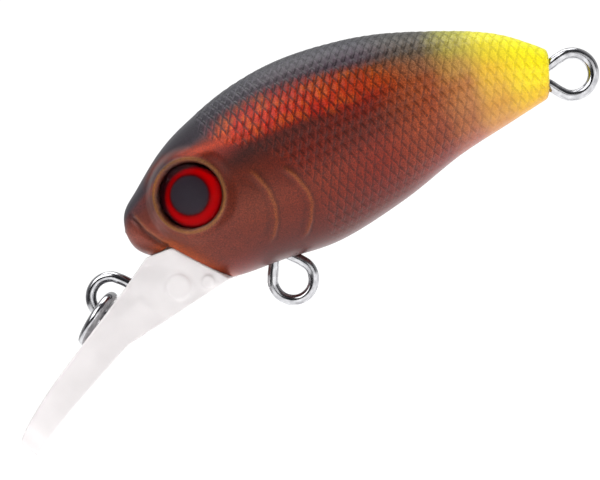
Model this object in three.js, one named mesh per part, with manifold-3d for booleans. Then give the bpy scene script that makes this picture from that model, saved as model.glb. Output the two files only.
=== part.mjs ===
// Crankbait lure: a hollow body in two glued halves, a clear diving lip, wire eyes, weights and rattles.
// Millimetres. +X runs from the nose to the tail, +Z to the back, and the lure's left side faces -Y.
// The origin is the centre of the line tie, the wire eye that the fishing line pulls on.
import * as THREE from "three";
import { ParametricGeometry } from "three/addons/geometries/ParametricGeometry.js";
import { mergeVertices } from "three/addons/utils/BufferGeometryUtils.js";
import Module from "manifold-3d";

const wasm = await Module();
wasm.setup();

// Body
const bodyLength = 36.9;
const bodyHeight = 15.8;
const bodyWidth = 12;
const wall = 1.1;
const seamGap = 0.06;
const sectionPower = 2.25;
const tailLean = 15;

// Diving lip
const lipLength = 19.4;
const lipWidth = 12;
const lipAngle = 38;
const rootWidth = 6;
const bladeRootThickness = 3;
const bladeTipThickness = 1.9;
const lipGap = 0.08;
const tabThickness = 2;
const tabHeight = 2.4;
const tabRootDepth = 2.4;
const tabLength = 4.6;
const tabSetback = 0.4;
const bendPastTie = 1.8;
const bossHeight = 0.3;
const bossRoot = 1;
// Round bosses on the root's sides: share of the way from chin to throat, rise over the throat's end, radius.
const rootBosses = [
  { share: 0.31, rise: 0.5, radius: 1.05 },
  { share: 0.71, rise: 0.2, radius: 0.55 },
];

// Wire eyes and the loose ring
const wireRadius = 0.45;
const eyeLoopRadius = 1.7;
const anchorLoopRadius = 1.3;
const anchorDepth = 3.9;
const waistDepth = 2.25;
const waistHalf = 0.62;
const hangerStandoff = 1.8;
const tieDistance = 4.8;
const tieStandoff = 0.9;
const ringRadius = 2.15;
const ringRestTilt = 4;
const wireGap = 0.08;

// Eyes
const eyeRadius = 2.6;
const eyeDepth = 0.95;
const eyeSink = 0.1;
const eyeRim = 0.4;
const eyeFollow = 0.3;
const eyeGap = 0.06;
const foilThickness = 0.2;
const lensEdge = 0.45;
const lensDome = 0.6;

// Pins that hold the halves, the lip and the wires together
const pinRadius = 0.7;
const pinReach = 1.3;
const pinGap = 0.08;
const pinRoot = 1;
const columnRadius = 1.45;
const tabPinDepth = 0.9 * columnRadius;

// Weight and rattle balls
const weightRadius = 2;
const weightLength = 4.4;
const frontBallRadius = 1.9;
const rearBallRadius = 1.5;
const ballTravel = 1.6;
const looseGap = 0.15;
const ribThickness = 0.8;
const chamberWall = 0.6;

// Body stations from nose to tail: place along the body, top, bottom and half width.
// Places are shares of the length, heights shares of the height, widths shares of half the width.
const stations = [
  [0, -0.127, -0.127, 0],
  [0.016, -0.02, -0.232, 0.26],
  [0.057, 0.07, -0.312, 0.46],
  [0.13, 0.217, -0.45, 0.7],
  [0.206, 0.32, -0.515, 0.87],
  [0.328, 0.434, -0.506, 0.985],
  [0.463, 0.49, -0.496, 1],
  [0.626, 0.475, -0.392, 0.88],
  [0.77, 0.395, -0.26, 0.68],
  [0.897, 0.285, -0.177, 0.46],
  [1, 0.122, -0.112, 0.26],
];
const outlineCurve = new THREE.CatmullRomCurve3(
  stations.map(([along, top, bottom]) => new THREE.Vector3(along, top, bottom)),
  false,
  "catmullrom",
);
const widthCurve = new THREE.CatmullRomCurve3(
  stations.map(([along, , , half]) => new THREE.Vector3(along, half, 0)),
  false,
  "catmullrom",
);

const radians = THREE.MathUtils.degToRad;
const lerp = THREE.MathUtils.lerp;

// The body's section where the two curves reach the share t of their stations.
function section(t) {
  const outline = outlineCurve.getPoint(t);
  const top = outline.y * bodyHeight;
  const bottom = outline.z * bodyHeight;
  return {
    x: outline.x * bodyLength,
    top,
    bottom,
    middle: (top + bottom) / 2,
    halfHeight: (top - bottom) / 2,
    halfWidth: (widthCurve.getPoint(t).y * bodyWidth) / 2,
  };
}

// The same section, found by its distance x behind the nose.
function sectionAt(x) {
  let low = 0;
  let high = 1;
  for (let step = 0; step < 30; step += 1) {
    const t = (low + high) / 2;
    if (section(t).x < x) low = t;
    else high = t;
  }
  return section(low);
}

// A point of the middle plane: a share of the body's length, and a level from belly 0 to back 1.
function onBody(along, level) {
  const cut = sectionAt(along * bodyLength);
  return new THREE.Vector2(cut.x, lerp(cut.bottom, cut.top, level));
}

// How far the body's side stands from the middle plane at x and z.
function sideAt(x, z) {
  const cut = sectionAt(x);
  const rise = Math.min(1, Math.abs((z - cut.middle) / cut.halfHeight));
  return cut.halfWidth * (1 - rise ** sectionPower) ** (1 / sectionPower);
}

function toSolid(geometry) {
  const bare = new THREE.BufferGeometry();
  bare.setAttribute("position", geometry.getAttribute("position"));
  bare.setIndex(geometry.getIndex());
  const merged = mergeVertices(bare, 1e-3);
  const corners = merged.index.array;
  const triangles = [];
  for (let i = 0; i < corners.length; i += 3) {
    const [a, b, c] = corners.subarray(i, i + 3);
    if (a !== b && b !== c && c !== a) triangles.push(a, b, c);
  }
  return new wasm.Manifold(
    new wasm.Mesh({
      numProp: 3,
      vertProperties: merged.getAttribute("position").array,
      triVerts: new Uint32Array(triangles),
    }),
  );
}

function toGeometry(solid) {
  const made = solid.getMesh();
  const geometry = new THREE.BufferGeometry();
  geometry.setAttribute("position", new THREE.BufferAttribute(made.vertProperties, 3));
  geometry.setIndex(new THREE.BufferAttribute(made.triVerts, 1));
  geometry.computeVertexNormals();
  return geometry;
}

function join(solids) {
  return solids.reduce((whole, piece) => whole.add(piece));
}

function box(xFrom, xTo, yFrom, yTo, zFrom, zTo) {
  const geometry = new THREE.BoxGeometry(xTo - xFrom, yTo - yFrom, zTo - zFrom);
  return geometry.translate((xFrom + xTo) / 2, (yFrom + yTo) / 2, (zFrom + zTo) / 2);
}

// A round bar along Y at a point of the middle plane.
function crossBar(point, radius, yFrom, yTo, sides = 16) {
  const geometry = new THREE.CylinderGeometry(radius, radius, yTo - yFrom, sides);
  return geometry.translate(point.x, (yFrom + yTo) / 2, point.y);
}

// A round bar along X.
function lengthBar(radius, xFrom, xTo, z, sides = 16) {
  const geometry = new THREE.CylinderGeometry(radius, radius, xTo - xFrom, sides);
  return geometry.rotateZ(Math.PI / 2).translate((xFrom + xTo) / 2, 0, z);
}

// An outline in X and Z, pushed from yFrom to yTo.
function plate(points, yFrom, yTo) {
  const geometry = new THREE.ExtrudeGeometry(new THREE.Shape(points), {
    depth: yTo - yFrom,
    bevelEnabled: false,
  });
  return geometry.rotateX(Math.PI / 2).translate(0, yTo, 0);
}

// The body as a loft of sections from tFrom to tTo, drawn in by inset and closed at both ends.
function bodyLoft(inset, tFrom, tTo, around, rings) {
  const surface = (u, v, target) => {
    const share = THREE.MathUtils.clamp((v * rings - 1) / (rings - 2), 0, 1);
    const t = lerp(tFrom, tTo, share);
    const cut = section(t);
    const atEnd = v === 0 || v === 1;
    const turn = 2 * Math.PI * u;
    const power = 2 / sectionPower;
    const across = atEnd ? 0 : Math.sign(Math.cos(turn)) * Math.abs(Math.cos(turn)) ** power;
    const up = atEnd ? 0 : Math.sign(Math.sin(turn)) * Math.abs(Math.sin(turn)) ** power;
    const z = cut.middle + Math.max(0, cut.halfHeight - inset) * up;
    const leanHere = Math.tan(radians(tailLean)) * t ** 8;
    target.set(cut.x + z * leanHere, Math.max(0, cut.halfWidth - inset) * across, z);
  };
  return toSolid(new ParametricGeometry(surface, around, rings));
}

// A wire bent into a round eye, a waist and an open anchor loop, all in the middle plane.
// The eye is centred on the point, and the waist and the anchor lie behind it.
function wireEight(centre, outwardAngle, radius, steps) {
  const outward = new THREE.Vector2(Math.cos(radians(outwardAngle)), Math.sin(radians(outwardAngle)));
  const place = (along, aside) =>
    new THREE.Vector3(
      centre.x + outward.x * along - outward.y * aside,
      0,
      centre.y + outward.y * along + outward.x * aside,
    );
  const anchorTurns = [38, 65, 95, 125];
  const anchor = anchorTurns.map((turn) => [
    -anchorDepth - anchorLoopRadius * Math.cos(radians(turn)),
    anchorLoopRadius * Math.sin(radians(turn)),
  ]);
  const eye = [];
  for (let turn = 130; turn >= -130; turn -= 26) {
    eye.push([eyeLoopRadius * Math.cos(radians(turn)), eyeLoopRadius * Math.sin(radians(turn))]);
  }
  const far = [...anchor].reverse().map(([along, aside]) => [along, -aside]);
  const bends = [...anchor, [-waistDepth, waistHalf], ...eye, [-waistDepth, -waistHalf], ...far];
  const path = new THREE.CatmullRomCurve3(bends.map(([along, aside]) => place(along, aside)));
  const round = new THREE.Shape().absarc(0, 0, radius, 0, 2 * Math.PI);
  const geometry = new THREE.ExtrudeGeometry(round, { extrudePath: path, steps, curveSegments: 4 });
  return toSolid(geometry);
}

function anchorCentre(centre, outwardAngle) {
  const angle = radians(outwardAngle);
  return new THREE.Vector2(
    centre.x - anchorDepth * Math.cos(angle),
    centre.y - anchorDepth * Math.sin(angle),
  );
}

// Places in the middle plane that several pieces share
const chin = onBody(0.042, 0);
const mouthCorner = onBody(0.106, 0.23);
const throatBack = onBody(0.208, 0);
const faceDown = new THREE.Vector2(-Math.cos(radians(lipAngle)), -Math.sin(radians(lipAngle)));
const faceOut = new THREE.Vector2(faceDown.y, -faceDown.x);
const lipTop = chin.clone().add(new THREE.Vector2(0, -lipGap));
const tieCentre = lipTop.clone().addScaledVector(faceDown, tieDistance).addScaledVector(faceOut, tieStandoff);
const tieOutward = 174;
const bellySpot = onBody(0.331, 0);
const bellyCentre = new THREE.Vector2(bellySpot.x, bellySpot.y - hangerStandoff);
const bellyOutward = -77;
const tailSpot = onBody(1, 0.47);
const tailOutward = -tailLean;
const tailDrop = hangerStandoff * Math.tan(radians(tailLean));
const tailCentre = new THREE.Vector2(tailSpot.x + hangerStandoff, tailSpot.y - tailDrop);
const eyeSpot = onBody(0.184, 0.56);
const tabFront = mouthCorner.x + tabSetback;
const tabTop = mouthCorner.y + tabHeight;
const tabBottom = mouthCorner.y - tabRootDepth;
const tabPins = [0.25, 0.75].map(
  (share) => new THREE.Vector2(tabFront + tabLength * share, tabTop - tabPinDepth),
);
const backPins = [onBody(0.4, 0.84), onBody(0.75, 0.8), onBody(0.73, 0.16)];
const weightSpot = onBody(0.475, 0.26);

// Rattle chambers: place of the ball along the body, its level and its radius
const frontRattle = { spot: onBody(0.5, 0.62), radius: frontBallRadius };
const rearRattle = { spot: onBody(0.715, 0.5), radius: rearBallRadius };
const rattles = [frontRattle, rearRattle];

// Wires
const wireSteps = 52;
const hangers = [
  [bellyCentre, bellyOutward],
  [tailCentre, tailOutward],
];
const anchors = hangers.map(([centre, outward]) => anchorCentre(centre, outward));

// Diving lip: the side view and the view onto its face, each pushed through, meet in the lip.
function divingLip() {
  const onFace = (down, deep) =>
    lipTop.clone().addScaledVector(faceDown, down).addScaledVector(faceOut, -deep);
  const bend = onFace(tieDistance + bendPastTie, bladeRootThickness);
  const back = throatBack.clone().add(new THREE.Vector2(0, -lipGap));
  const corner = mouthCorner.clone().add(new THREE.Vector2(0, -lipGap));
  const sideView = [lipTop, onFace(lipLength, 0), onFace(lipLength, bladeTipThickness), bend, back, corner];
  const reach = lipWidth;
  const fromSide = toSolid(plate(sideView, -reach, reach));

  const half = lipWidth / 2;
  const neck = rootWidth / 2;
  const edge = new THREE.SplineCurve([
    new THREE.Vector2(0.16 * lipLength, neck),
    new THREE.Vector2(0.38 * lipLength, lerp(neck, half, 0.5)),
    new THREE.Vector2(0.6 * lipLength, half),
    new THREE.Vector2(0.8 * lipLength, 0.88 * half),
    new THREE.Vector2(0.94 * lipLength, 0.5 * half),
    new THREE.Vector2(lipLength, 0),
  ]).getPoints(20);
  const start = -lipLength / 2;
  const rim = [new THREE.Vector2(start, neck), ...edge];
  const mirrored = rim.slice(0, -1).reverse().map((point) => new THREE.Vector2(point.x, -point.y));
  const faceView = new THREE.ExtrudeGeometry(new THREE.Shape([...rim, ...mirrored]), {
    depth: 2 * reach,
    bevelEnabled: false,
  });
  faceView.translate(0, 0, -reach);
  const lay = new THREE.Matrix4().makeBasis(
    new THREE.Vector3(faceDown.x, 0, faceDown.y),
    new THREE.Vector3(0, -1, 0),
    new THREE.Vector3(faceOut.x, 0, faceOut.y),
  );
  faceView.applyMatrix4(lay.setPosition(lipTop.x, 0, lipTop.y));
  const blade = fromSide.intersect(toSolid(faceView));

  const tab = toSolid(
    box(tabFront, tabFront + tabLength, -tabThickness / 2, tabThickness / 2, tabBottom, tabTop),
  );
  const holes = tabPins.map((pin) => toSolid(crossBar(pin, pinRadius + pinGap, -tabThickness, tabThickness)));
  const bosses = [-1, 1].flatMap((side) =>
    rootBosses.map(({ share, rise, radius }) => {
      const spot = new THREE.Vector2(lerp(chin.x, throatBack.x, share), throatBack.y + rise);
      const face = (side * rootWidth) / 2;
      const ends = [face - side * bossRoot, face + side * bossHeight].sort((a, b) => a - b);
      return toSolid(crossBar(spot, radius, ...ends, 20));
    }),
  );
  const channel = wireEight(tieCentre, tieOutward, wireRadius + wireGap, wireSteps);
  return join([blade, tab, ...bosses]).subtract(join(holes)).subtract(channel);
}

// The seat of an eye: its local Y axis points outwards and follows a share of the head's slope.
function eyeSeat(side) {
  const step = 0.5;
  const { x, y: z } = eyeSpot;
  const alongX = (sideAt(x + step, z) - sideAt(x - step, z)) / (2 * step);
  const alongZ = (sideAt(x, z + step) - sideAt(x, z - step)) / (2 * step);
  const seat = new THREE.Group();
  seat.position.set(x, side * sideAt(x, z), z);
  const normal = new THREE.Vector3(-eyeFollow * alongX, side, -eyeFollow * alongZ).normalize();
  seat.quaternion.setFromUnitVectors(new THREE.Vector3(0, 1, 0), normal);
  seat.updateMatrix();
  return seat;
}

function eyeDisc(side, radius, low, high, sides) {
  const disc = new THREE.CylinderGeometry(radius, radius, high - low, sides).translate(0, (low + high) / 2, 0);
  return toSolid(disc.applyMatrix4(eyeSeat(side).matrix));
}

// The space between two planes of the middle, on one side only.
function sideSlab(side, nearest) {
  const farthest = 2 * bodyWidth;
  const ends = side > 0 ? [nearest, farthest] : [-farthest, -nearest];
  return toSolid(box(-2 * bodyLength, 2 * bodyLength, ...ends, -2 * bodyHeight, 2 * bodyHeight));
}

const cavitySpan = [0.2, 0.93];
const coreSpan = [0.1, 0.97];
const hull = bodyLoft(0, 0, 1, 32, 30);
const cavity = bodyLoft(wall, ...cavitySpan, 20, 16);
const core = bodyLoft(wall / 2, ...coreSpan, 20, 16);
const lip = divingLip();

// One half of the body. What stands inside it ends within the wall, at the core's surface.
// Side -1 is the left one, with the pins, and +1 the right one, with their sockets.
function bodyShell(side) {
  const outer = bodyWidth;
  const span = (from, to) => (side > 0 ? [from, to] : [-to, -from]);
  const column = (spot, from) => toSolid(crossBar(spot, columnRadius, ...span(from, outer), 14));
  const wireRoom = wireRadius + wireGap;
  const tabRoom = tabThickness / 2 + lipGap;

  const columns = [
    ...backPins.map((spot) => column(spot, 0)),
    ...anchors.map((spot) => column(spot, wireRoom)),
    ...tabPins.map((spot) => column(spot, tabRoom)),
  ];
  const ribs = rattles.flatMap(({ spot, radius }) => {
    const reach = radius + looseGap + ballTravel;
    return [
      box(spot.x - reach - ribThickness, spot.x - reach, -outer, outer, -bodyHeight, bodyHeight),
      box(spot.x + reach, spot.x + reach + ribThickness, -outer, outer, -bodyHeight, bodyHeight),
      lengthBar(radius + looseGap + chamberWall, spot.x - reach, spot.x + reach, spot.y),
    ].map(toSolid);
  });
  const bores = rattles.map(({ spot, radius }) => {
    const reach = radius + looseGap + ballTravel;
    return toSolid(lengthBar(radius + looseGap, spot.x - reach, spot.x + reach, spot.y));
  });
  const cradleHalf = weightRadius + looseGap + ribThickness;
  const cradle = toSolid(
    box(weightSpot.x - cradleHalf, weightSpot.x + cradleHalf, -outer, outer, -bodyHeight, weightSpot.y),
  );
  const weightRoom = weightLength / 2 + looseGap;
  const weightBed = toSolid(crossBar(weightSpot, weightRadius + looseGap, -weightRoom, weightRoom, 24));
  const eyeBack = eyeDisc(side, eyeRadius + eyeRim, -eyeDepth - eyeSink - wall, 0, 28);

  const inside = join([...columns, ...ribs, cradle, eyeBack]).intersect(core);
  const rimFoot = -eyeDepth - eyeSink - wall / 2;
  const rim = eyeDisc(side, eyeRadius + eyeRim, rimFoot, -eyeSink, 28);
  let shell = hull.subtract(cavity).add(inside).add(rim).intersect(sideSlab(side, seamGap / 2));

  const pocket = eyeDisc(side, eyeRadius + eyeGap, -eyeDepth - eyeSink, eyeDepth, 28);
  const throat = [
    chin,
    mouthCorner,
    throatBack,
    new THREE.Vector2(throatBack.x, -2 * bodyHeight),
    new THREE.Vector2(chin.x, -2 * bodyHeight),
  ];
  const tabEnd = tabFront + tabLength + lipGap;
  const tabPocket = box(tabFront - lipGap, tabEnd, -tabRoom, tabRoom, tabBottom - lipGap, tabTop + lipGap);
  const cuts = [
    pocket,
    toSolid(plate(throat, -outer, outer)),
    toSolid(tabPocket),
    weightBed,
    ...bores,
    ...hangers.map(([centre, outward]) => wireEight(centre, outward, wireRoom, wireSteps)),
  ];
  shell = shell.subtract(join(cuts));

  const pins = [
    ...backPins.map((spot) => [spot, 0]),
    ...anchors.map((spot) => [spot, wireRoom]),
    ...tabPins.map((spot) => [spot, tabRoom]),
  ];
  if (side < 0) {
    const pegs = pins.map(([spot, room]) =>
      toSolid(crossBar(spot, pinRadius, -room - pinRoot, room + pinReach, 14)),
    );
    return shell.add(join(pegs));
  }
  const sockets = pins.map(([spot, room]) =>
    toSolid(crossBar(spot, pinRadius + pinGap, -pinRoot, room + pinReach + pinGap, 14)),
  );
  return shell.subtract(join(sockets));
}

// Materials: colour, roughness, metalness
const paint = [0x8c3524, 0.45, 0.35];
const clearPlastic = [0xf2f0f0, 0.3, 0];
const steel = [0xc9c9c9, 0.15, 1];
const brass = [0xb89a52, 0.35, 1];
const foilRed = [0xc0101a, 0.3, 0.4];
const lensClear = [0xe8e0e0, 0.05, 0];

const lure = new THREE.Group();
lure.position.set(-tieCentre.x, 0, -tieCentre.y);

function addPiece(name, geometry, [color, roughness, metalness], parent = lure) {
  const piece = new THREE.Mesh(geometry, new THREE.MeshStandardMaterial({ color, roughness, metalness }));
  piece.name = name;
  parent.add(piece);
  return piece;
}

addPiece("left_body_shell", toGeometry(bodyShell(-1)), paint);
addPiece("right_body_shell", toGeometry(bodyShell(1)), paint);
addPiece("diving_lip", toGeometry(lip), clearPlastic);
addPiece("line_tie", toGeometry(wireEight(tieCentre, tieOutward, wireRadius, wireSteps)), steel);
addPiece("belly_hanger", toGeometry(wireEight(bellyCentre, bellyOutward, wireRadius, wireSteps)), steel);
addPiece("tail_hanger", toGeometry(wireEight(tailCentre, tailOutward, wireRadius, wireSteps)), steel);

// The ring hangs through the line tie and lies along the lip's face at rest.
const ringAngle = radians(180 + lipAngle + ringRestTilt);
const ring = addPiece("line_tie_ring", new THREE.TorusGeometry(ringRadius, wireRadius, 8, 28), steel);
ring.position.set(
  tieCentre.x + ringRadius * Math.cos(ringAngle),
  0,
  tieCentre.y + ringRadius * Math.sin(ringAngle),
);
ring.rotation.y = -ringAngle;

const sides = [
  ["left", -1],
  ["right", 1],
];
for (const [word, side] of sides) {
  const seat = eyeSeat(side);
  lure.add(seat);
  const floor = -eyeDepth - eyeSink + eyeGap;
  const foil = new THREE.CylinderGeometry(eyeRadius, eyeRadius, foilThickness, 28);
  addPiece(`${word}_eye_foil`, foil.translate(0, floor + foilThickness / 2, 0), foilRed, seat);
  const lensFloor = floor + foilThickness + eyeGap;
  const domeTurns = [0, 22, 44, 67, 90];
  const dome = domeTurns.map((turn) => {
    const share = radians(turn);
    return new THREE.Vector2(
      turn === 90 ? 0 : eyeRadius * Math.cos(share),
      lensFloor + lensEdge + lensDome * Math.sin(share),
    );
  });
  const profile = [new THREE.Vector2(0, lensFloor), new THREE.Vector2(eyeRadius, lensFloor), ...dome];
  addPiece(`${word}_eye_lens`, new THREE.LatheGeometry(profile, 28), lensClear, seat);
}

const weightBar = new THREE.CylinderGeometry(weightRadius, weightRadius, weightLength, 24);
const weight = addPiece("belly_weight", weightBar, brass);
weight.position.set(weightSpot.x, 0, weightSpot.y);

for (const [name, { spot, radius }] of [
  ["front_rattle_ball", frontRattle],
  ["rear_rattle_ball", rearRattle],
]) {
  const ball = addPiece(name, new THREE.SphereGeometry(radius, 16, 10), steel);
  ball.position.set(spot.x, 0, spot.y);
}

export default lure;
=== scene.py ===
# Crankbait lure: a painted body in two halves, a frosted diving lip, wire eyes and a loose ring,
# domed eyes, a weight and two rattle balls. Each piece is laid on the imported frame, in metres.
from bisect import bisect_right
from math import cos, exp, floor, hypot, pi, radians, sin, sqrt, tan

import bmesh
import bpy
from mathutils import Matrix, Vector


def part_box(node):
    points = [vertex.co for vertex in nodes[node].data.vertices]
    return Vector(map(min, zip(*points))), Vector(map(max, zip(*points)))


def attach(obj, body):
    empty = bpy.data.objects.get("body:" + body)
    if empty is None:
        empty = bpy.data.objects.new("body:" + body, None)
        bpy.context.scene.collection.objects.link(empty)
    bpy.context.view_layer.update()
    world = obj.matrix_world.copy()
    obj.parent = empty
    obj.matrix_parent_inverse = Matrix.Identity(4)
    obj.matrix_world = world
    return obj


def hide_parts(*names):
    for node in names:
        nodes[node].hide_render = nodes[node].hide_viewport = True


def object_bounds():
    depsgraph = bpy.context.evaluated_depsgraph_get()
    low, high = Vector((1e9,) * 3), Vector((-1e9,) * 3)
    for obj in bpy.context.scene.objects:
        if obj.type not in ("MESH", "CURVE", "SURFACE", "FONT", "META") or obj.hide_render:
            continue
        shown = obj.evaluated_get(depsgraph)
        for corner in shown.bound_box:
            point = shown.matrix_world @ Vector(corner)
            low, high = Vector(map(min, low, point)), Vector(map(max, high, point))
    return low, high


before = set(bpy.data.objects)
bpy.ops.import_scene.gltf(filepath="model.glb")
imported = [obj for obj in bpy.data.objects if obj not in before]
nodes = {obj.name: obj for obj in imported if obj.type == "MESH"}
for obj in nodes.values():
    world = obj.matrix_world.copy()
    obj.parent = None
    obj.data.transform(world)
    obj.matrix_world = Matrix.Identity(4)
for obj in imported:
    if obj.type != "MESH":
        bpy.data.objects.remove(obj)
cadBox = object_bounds()
mm = 0.001

# Sizes in millimetres, angles in degrees
body = {
    "length": 36.9,
    "height": 15.8,
    "width": 12,
    "wall": 1.1,
    "seam": 0.06,
    "power": 2.25,
    "lean": 15,
    "tailRounding": 0.35,
    "stations": [  # share of the length, top, bottom, half width
        (0, -0.127, -0.127, 0),
        (0.016, -0.02, -0.232, 0.26),
        (0.057, 0.07, -0.312, 0.46),
        (0.13, 0.217, -0.45, 0.7),
        (0.206, 0.32, -0.515, 0.87),
        (0.328, 0.434, -0.506, 0.985),
        (0.463, 0.49, -0.496, 1),
        (0.626, 0.475, -0.392, 0.88),
        (0.77, 0.395, -0.26, 0.68),
        (0.897, 0.285, -0.177, 0.46),
        (1, 0.122, -0.112, 0.26),
    ],
    "chin": 0.042,
    "mouthCorner": (0.106, 0.23),
    "throatBack": 0.208,
    "rows": 318,
    "tailRows": 16,
    "around": 168,
}


def smooth(low, high, value):
    share = min(max((value - low) / (high - low), 0), 1)
    return share * share * (3 - 2 * share)


# Straight-line reading of a list of (place, value) pairs.
def along(points, value):
    places = [point[0] for point in points]
    i = min(max(bisect_right(places, value), 1), len(points) - 1)
    (x0, y0), (x1, y1) = points[i - 1], points[i]
    share = min(max((value - x0) / (x1 - x0), 0), 1)
    return y0 + (y1 - y0) * share


def uniformSpline(points, share):
    spans = len(points) - 1
    place = min(share * spans, spans - 1e-9)
    i = int(place)
    w = place - i
    here, after = points[i], points[i + 1]
    before = points[i - 1] if i else [2 * a - b for a, b in zip(here, after)]
    beyond = points[i + 2] if i + 2 <= spans else [2 * b - a for a, b in zip(here, after)]
    out = []
    for a, b, c, d in zip(before, here, after, beyond):
        m0, m1 = (c - a) / 2, (d - b) / 2
        out.append(b + w * (m0 + w * (3 * (c - b) - 2 * m0 - m1 + w * (2 * (b - c) + m0 + m1))))
    return out


def section(share):
    place, top, bottom, half = uniformSpline(body["stations"], share)
    top *= body["height"]
    bottom *= body["height"]
    return {
        "share": share,
        "x": place * body["length"],
        "middle": (top + bottom) / 2,
        "halfHeight": (top - bottom) / 2,
        "halfWidth": half * body["width"] / 2,
    }


sections = [section(i / 900) for i in range(901)]


def sectionAt(x):
    places = [cut["x"] for cut in sections]
    i = min(max(bisect_right(places, x), 1), len(sections) - 1)
    return sections[i]


def onBody(place, level):
    cut = sectionAt(place * body["length"])
    return Vector((cut["x"], 0, cut["middle"] + (2 * level - 1) * cut["halfHeight"]))


def middleOf(node):
    low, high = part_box(node)
    return (Vector(low) + Vector(high)) / 2 / mm


# The nose's own coordinates are turned into the frame's by the place of the weight.
origin = middleOf("belly_weight") - onBody(0.475, 0.26)
chin = onBody(body["chin"], 0)
mouthCorner = onBody(*body["mouthCorner"])
throatBack = onBody(body["throatBack"], 0)
throat = [(chin.x, chin.z), (mouthCorner.x, mouthCorner.z), (throatBack.x, throatBack.z)]
leanSlope = tan(radians(body["lean"]))


def newPiece(name, bm, material, ride, replaced=()):
    bmesh.ops.scale(bm, vec=(mm, mm, mm), verts=bm.verts)
    mesh = bpy.data.meshes.new(name)
    bm.to_mesh(mesh)
    bm.free()
    for face in mesh.polygons:
        face.use_smooth = True
    piece = bpy.data.objects.new(name, mesh)
    bpy.context.scene.collection.objects.link(piece)
    mesh.materials.append(material)
    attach(piece, ride)
    if replaced:
        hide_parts(*replaced)
    print(f"{name}: {len(mesh.polygons)} faces")
    return piece


# An sRGB hex colour as linear RGBA.
def linear(code):
    parts = [int(code[i:i + 2], 16) / 255 for i in (1, 3, 5)]
    return [c / 12.92 if c <= 0.04045 else ((c + 0.055) / 1.055) ** 2.4 for c in parts] + [1]


# One node with its settings, its plain values and its links.
def addNode(tree, kind, inputs=None, **settings):
    node = tree.nodes.new(kind)
    for key, value in settings.items():
        setattr(node, key, value)
    for key, value in (inputs or {}).items():
        socket = node.inputs[key]
        if isinstance(value, bpy.types.NodeSocket):
            tree.links.new(value, socket)
        else:
            socket.default_value = value
    return node


def newMaterial(name, **values):
    material = bpy.data.materials.new(name)
    material.use_nodes = True
    tree = material.node_tree
    shader = tree.nodes["Principled BSDF"]
    for key, value in values.items():
        shader.inputs[key.replace("_", " ")].default_value = value
    return material, tree, shader


def mathNode(tree, operation, first, second=0.0, third=0.0):
    return addNode(tree, "ShaderNodeMath", {0: first, 1: second, 2: third}, operation=operation).outputs[0]


def ramp(tree, factor, stops, mode="LINEAR"):
    node = addNode(tree, "ShaderNodeValToRGB", {0: factor})
    band = node.color_ramp
    band.interpolation = mode
    while len(band.elements) < len(stops):
        band.elements.new(0.5)
    for element, (place, code) in zip(band.elements, stops):
        element.position = place
        element.color = linear(code) if isinstance(code, str) else [code, code, code, 1]
    return node.outputs[0]


def mix(tree, factor, first, second, blend="MIX"):
    node = addNode(tree, "ShaderNodeMix", data_type="RGBA", blend_type=blend)
    for index, value in ((0, factor), (6, first), (7, second)):
        if isinstance(value, bpy.types.NodeSocket):
            tree.links.new(value, node.inputs[index])
        else:
            node.inputs[index].default_value = value
    return node.outputs[2]


def darken(tree, colour, share):
    grey = addNode(tree, "ShaderNodeCombineColor", {0: share, 1: share, 2: share}).outputs[0]
    return mix(tree, 1.0, colour, grey, "MULTIPLY")


def mapRange(tree, value, low, high, toLow=0.0, toHigh=1.0, kind="LINEAR"):
    inputs = {"Value": value, "From Min": low, "From Max": high, "To Min": toLow, "To Max": toHigh}
    return addNode(tree, "ShaderNodeMapRange", inputs, interpolation_type=kind).outputs[0]


# Noise whose grain is sizeMm across in the object's own metres.
def noiseOf(tree, coordinates, sizeMm, detail=2.0, stretch=None):
    if stretch:
        coordinates = addNode(tree, "ShaderNodeMapping", {0: coordinates, "Scale": stretch}).outputs[0]
    return addNode(
        tree, "ShaderNodeTexNoise", {"Vector": coordinates, "Scale": 1 / (sizeMm * mm), "Detail": detail}
    ).outputs[0]


def bump(tree, shader, height, distanceMm, strength=1.0):
    inputs = {"Height": height, "Distance": distanceMm * mm, "Strength": strength}
    node = addNode(tree, "ShaderNodeBump", inputs)
    tree.links.new(node.outputs[0], shader.inputs["Normal"])


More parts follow.
